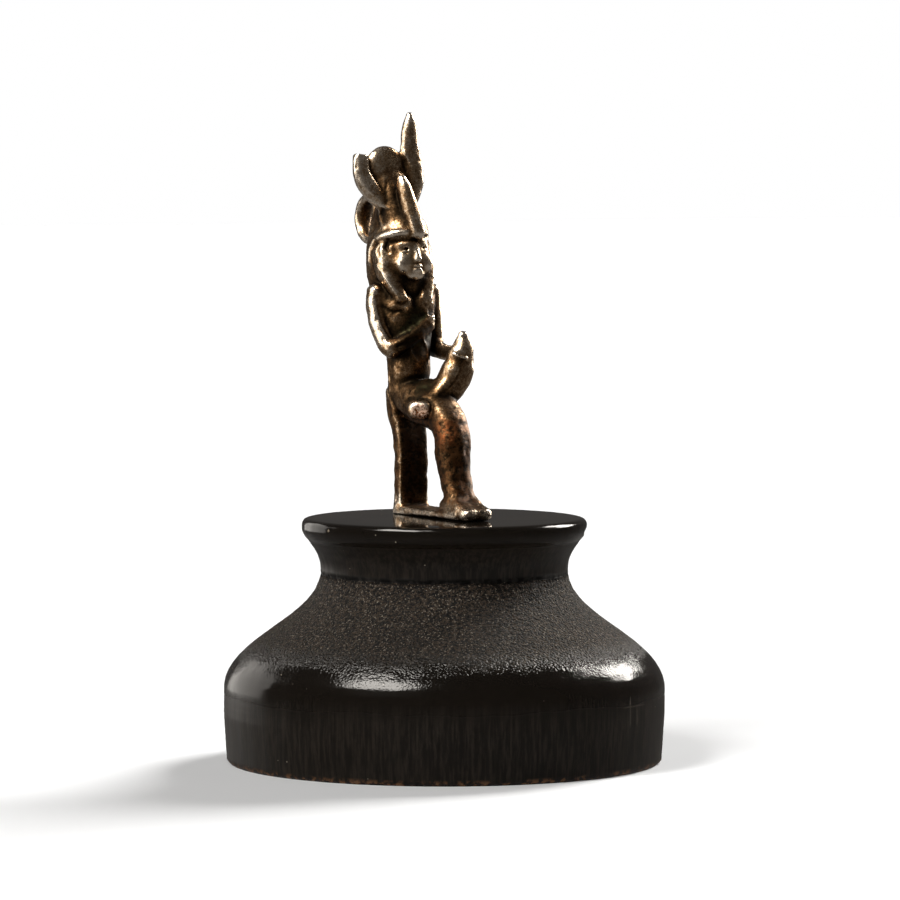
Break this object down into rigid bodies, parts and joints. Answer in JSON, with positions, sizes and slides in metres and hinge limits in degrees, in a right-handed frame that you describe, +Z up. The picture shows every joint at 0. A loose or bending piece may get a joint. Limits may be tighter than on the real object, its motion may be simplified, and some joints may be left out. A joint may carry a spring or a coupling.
{
  "type": "isis and horus amulet",
  "caption": "Small cast amulet of a seated goddess nursing her child, with a horned crown and a suspension loop, on a turned dark wooden stand.",
  "frame": {"origin": "centre of the wooden stand's flat underside", "axes": "+Z up along the stand's turning axis; the seated figure faces -Y, her left hand on +X"},
  "size_m": [0.0442, 0.0442, 0.065],
  "materials": {
    "tarnished_bronze": "worn cast surface, brown tarnish with pale rubbed edges, dark and greenish recesses",
    "ebonised_wood": "black, glossy top and rims, satin wall, matt dusty shoulder"
  },
  "bodies": {
    "root": {"isis_and_horus_amulet": "tarnished_bronze", "wooden_stand": "ebonised_wood"}
  },
  "joints": []
}
